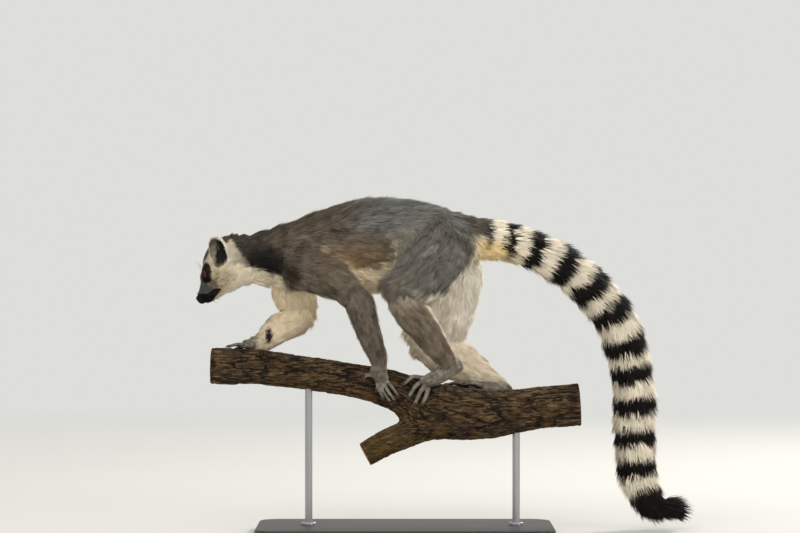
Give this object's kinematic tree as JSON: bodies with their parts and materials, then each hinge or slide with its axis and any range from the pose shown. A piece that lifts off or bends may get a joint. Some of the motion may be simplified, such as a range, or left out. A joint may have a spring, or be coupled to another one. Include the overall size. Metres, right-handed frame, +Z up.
{
  "type": "ring-tailed lemur model",
  "caption": "Life-size still model of a ring-tailed lemur walking along a cut branch, held by two rods on a flat display base.",
  "frame": {"origin": "centre of the display base's underside", "axes": "+Z up, +X from the animal's head towards its tail along the branch, -Y towards the animal's left side"},
  "size_m": [0.659, 0.2, 0.4532],
  "materials": {
    "grey_coat": "short dense grey to grey-brown fur over the back, neck, haunches and outer limbs",
    "pale_coat": "longer cream-white fur of the throat, belly, inner limbs and ear rims",
    "face_coat": "very short white to cream face fur with black eye patches and a grey muzzle",
    "ring_coat": "full bushy tail fur in cream-white and black rings with a black tip",
    "hand_skin": "short grey fur thinning to bare grey skin on the fingers and toes",
    "nose_skin": "moist finely pebbled black nose leather",
    "eye": "clear wet eye with an orange-red iris and a dark pupil",
    "claw": "dark slightly glossy nails and whisker roots",
    "bark": "dark furrowed bark with a little ochre lichen, pale wood where it is sawn",
    "base": "satin near-black stained board",
    "rod": "brushed steel rod"
  },
  "bodies": {
    "root": {"head": "face_coat", "neck": "grey_coat", "chest": "grey_coat", "abdomen": "grey_coat", "rump": "grey_coat", "nose": "nose_skin", "eye_left": "eye", "eye_right": "eye", "ear_left": "pale_coat", "ear_right": "pale_coat", "tail_1": "ring_coat", "tail_2": "ring_coat", "tail_3": "ring_coat", "tail_4": "ring_coat", "tail_5": "ring_coat", "tail_6": "ring_coat", "upper_arm_left": "grey_coat", "forearm_left": "grey_coat", "thigh_left": "grey_coat", "shank_left": "grey_coat", "hand_left": "hand_skin", "foot_left": "hand_skin", "upper_arm_right": "grey_coat", "forearm_right": "grey_coat", "thigh_right": "grey_coat", "shank_right": "grey_coat", "hand_right": "hand_skin", "foot_right": "hand_skin", "perch_branch": "bark", "perch_fork": "bark", "stand_base": "base", "stand_rod_front": "rod", "stand_rod_back": "rod"}
  },
  "joints": []
}
